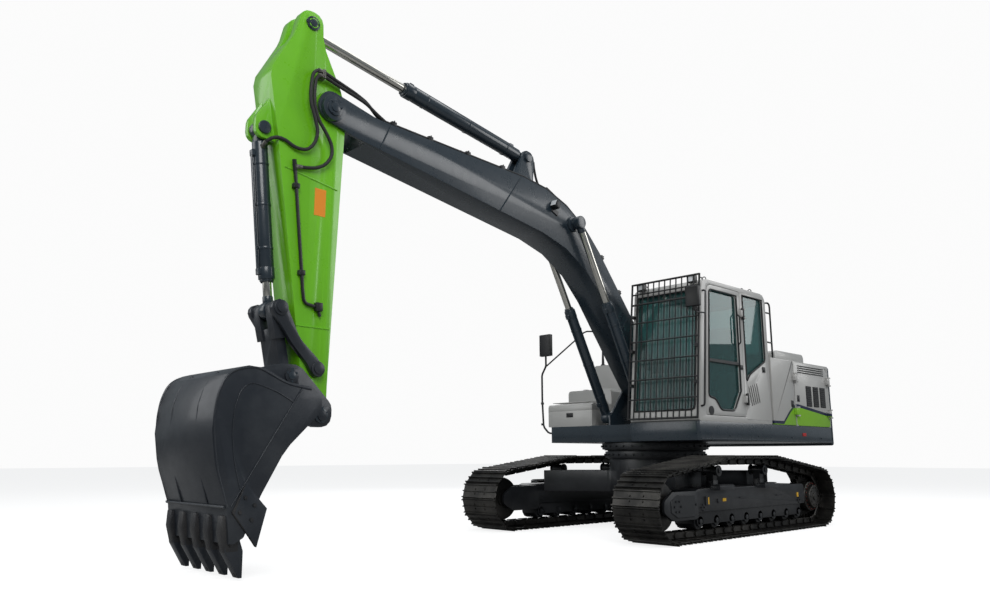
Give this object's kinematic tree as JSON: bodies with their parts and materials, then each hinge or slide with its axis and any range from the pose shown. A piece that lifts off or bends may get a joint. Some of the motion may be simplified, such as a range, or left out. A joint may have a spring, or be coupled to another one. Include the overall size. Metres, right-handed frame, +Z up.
{
  "type": "crawler excavator",
  "caption": "Crawler excavator with a bent boom, straight arm and toothed bucket, guarded cab on the left, engine house, round counterweight and two steel tracks.",
  "frame": {"origin": "on the ground under the middle of the machine's outline seen from above, with the arm and bucket as parked", "axes": "+X the way the machine faces, +Y its left side, +Z up"},
  "size_m": [9.3871, 3.03, 5.0973],
  "materials": {
    "lime_paint": "gloss",
    "slate_paint": "gloss",
    "grey_paint": "gloss",
    "bucket_paint": "satin",
    "undercarriage_black": "satin",
    "undercarriage_steel": "satin",
    "black_parts": "satin",
    "engine_metal": "matte",
    "tinted_glass": "clear",
    "seat_fabric": "matte",
    "chrome_rod": "polished"
  },
  "bodies": {
    "undercarriage": {"bottom_rollers_left": "undercarriage_black", "bottom_rollers_right": "undercarriage_black", "carrier_roller_left_front": "undercarriage_black", "carrier_roller_left_rear": "undercarriage_black", "carrier_roller_right_front": "undercarriage_black", "carrier_roller_right_rear": "undercarriage_black", "idler_left": "undercarriage_steel", "idler_right": "undercarriage_steel", "sprocket_left": "undercarriage_steel", "sprocket_right": "undercarriage_steel", "track_frame_left": "undercarriage_black", "track_frame_right": "undercarriage_black", "track_left": "undercarriage_steel", "track_right": "undercarriage_steel", "lower_frame": "undercarriage_black", "slew_ring_lower": "undercarriage_black"},
    "house": {"slew_ring_upper": "black_parts", "main_deck": "slate_paint", "counterweight": "slate_paint", "engine_house": "grey_paint", "engine_block": "engine_metal", "hydraulic_tank": "grey_paint", "fuel_tank": "grey_paint", "toolbox": "grey_paint", "exhaust_pipe": "black_parts", "cab_shell": "grey_paint", "rear_glass": "tinted_glass", "front_glass": "tinted_glass", "side_glass": "tinted_glass", "right_glass": "tinted_glass", "seat": "seat_fabric", "seat_base": "black_parts", "front_guard": "black_parts", "left_mirror": "black_parts", "right_mirror": "black_parts", "cab_handrail": "black_parts"},
    "cab_door_leaf": {"cab_door": "grey_paint", "door_glass": "tinted_glass"},
    "front_bay_door": {"left_front_door": "grey_paint"},
    "rear_bay_door": {"left_rear_door": "grey_paint"},
    "pump_bay_door": {"right_side_door": "grey_paint"},
    "hood": {"engine_hood": "grey_paint"},
    "toolbox_cover": {"toolbox_lid": "grey_paint"},
    "boom_body": {"boom": "slate_paint", "boom_pipes_left": "black_parts", "boom_pipes_right": "black_parts"},
    "boom_barrels": {"boom_cylinder_left_barrel": "slate_paint", "boom_cylinder_right_barrel": "slate_paint"},
    "boom_rods": {"boom_cylinder_left_rod": "chrome_rod", "boom_cylinder_right_rod": "chrome_rod"},
    "arm_body": {"arm": "lime_paint", "arm_pipe": "black_parts"},
    "arm_barrel": {"arm_cylinder_barrel": "slate_paint"},
    "arm_rod": {"arm_cylinder_rod": "chrome_rod"},
    "bucket_body": {"bucket": "bucket_paint"},
    "bucket_barrel": {"bucket_cylinder_barrel": "slate_paint"},
    "bucket_rod": {"bucket_cylinder_rod": "chrome_rod"},
    "rocker_body": {"rockers": "bucket_paint"},
    "link_body": {"bucket_link": "bucket_paint"}
  },
  "joints": [
    {"name": "swing", "type": "hinge", "parent": "undercarriage", "child": "house", "pos_m": [-1.845, 0, 1], "axis": [0, 0, 1], "continuous": true},
    {"name": "boom_lift", "type": "hinge", "parent": "house", "child": "boom_body", "pos_m": [-1.671, 0, 1.806], "axis": [0, -1, 0], "range_deg": [-72, 38]},
    {"name": "boom_barrel_tilt", "type": "hinge", "parent": "house", "child": "boom_barrels", "pos_m": [-1.225, 0, 1.43], "axis": [0, -1, 0], "range_deg": [-77, 41]},
    {"name": "boom_rod_slide", "type": "slide", "parent": "boom_barrels", "child": "boom_rods", "axis": [0.4757, 0, 0.8796], "range_m": [-0.67, 0.36]},
    {"name": "arm_swing", "type": "hinge", "parent": "boom_body", "child": "arm_body", "pos_m": [3.5264, 0, 4.1658], "axis": [0, 1, 0], "range_deg": [-80, 35]},
    {"name": "arm_barrel_tilt", "type": "hinge", "parent": "boom_body", "child": "arm_barrel", "pos_m": [0.6988, 0, 4.4624], "axis": [0, 1, 0], "range_deg": [-1.5, 2.5]},
    {"name": "arm_rod_slide", "type": "slide", "parent": "arm_barrel", "child": "arm_rod", "axis": [0.9861, 0, 0.1662], "range_m": [-1.09, 0.48]},
    {"name": "bucket_curl", "type": "hinge", "parent": "arm_body", "child": "bucket_body", "pos_m": [3.5435, 0, 1.2799], "axis": [0, 1, 0], "range_deg": [-4, 165]},
    {"name": "bucket_barrel_tilt", "type": "hinge", "parent": "arm_body", "child": "bucket_barrel", "pos_m": [4.1604, 0, 3.8316], "axis": [0, 1, 0], "range_deg": [-5, 0.3]},
    {"name": "bucket_rod_slide", "type": "slide", "parent": "bucket_barrel", "child": "bucket_rod", "axis": [-0.1092, 0, -0.994], "range_m": [-0.03, 1.085]},
    {"name": "rocker_swing", "type": "hinge", "parent": "arm_body", "child": "rocker_body", "pos_m": [3.5931, 0, 1.6882], "axis": [0, 1, 0], "range_deg": [-3, 118]},
    {"name": "bucket_link_swing", "type": "hinge", "parent": "rocker_body", "child": "link_body", "pos_m": [3.9805, 0, 2.1945], "axis": [0, 1, 0], "range_deg": [-74, 2]},
    {"name": "cab_door_swing", "type": "hinge", "parent": "house", "child": "cab_door_leaf", "pos_m": [-1.875, 1.379, 2.1], "axis": [0, 0, 1], "range_deg": [0, 165]},
    {"name": "front_bay_door_swing", "type": "hinge", "parent": "house", "child": "front_bay_door", "pos_m": [-3.217, 1.385, 1.75], "axis": [0, 0, 1], "range_deg": [0, 90]},
    {"name": "rear_bay_door_swing", "type": "hinge", "parent": "house", "child": "rear_bay_door", "pos_m": [-4.24, 1.385, 1.75], "axis": [0, 0, 1], "range_deg": [0, 110]},
    {"name": "pump_bay_door_swing", "type": "hinge", "parent": "house", "child": "pump_bay_door", "pos_m": [-4.24, -1.385, 1.75], "axis": [0, 0, -1], "range_deg": [0, 110]},
    {"name": "hood_lift", "type": "hinge", "parent": "house", "child": "hood", "pos_m": [-4.205, 0, 2.235], "axis": [0, -1, 0], "range_deg": [0, 75]},
    {"name": "toolbox_lid_lift", "type": "hinge", "parent": "house", "child": "toolbox_cover", "pos_m": [-1.62, 0, 1.675], "axis": [0, -1, 0], "range_deg": [0, 70]}
  ],
  "couplings": [
    {"joint": "boom_barrel_tilt", "follows": "boom_lift", "ratio": 1.0508},
    {"joint": "boom_rod_slide", "follows": "boom_lift", "m_per_rad": 0.527},
    {"joint": "arm_barrel_tilt", "follows": "arm_swing", "ratio": -0.0224},
    {"joint": "arm_rod_slide", "follows": "arm_swing", "m_per_rad": 0.773},
    {"joint": "bucket_barrel_tilt", "follows": "bucket_curl", "ratio": -0.0292},
    {"joint": "bucket_rod_slide", "follows": "bucket_curl", "m_per_rad": 0.373},
    {"joint": "rocker_swing", "follows": "bucket_curl", "ratio": 0.71},
    {"joint": "bucket_link_swing", "follows": "bucket_curl", "ratio": -0.444}
  ]
}
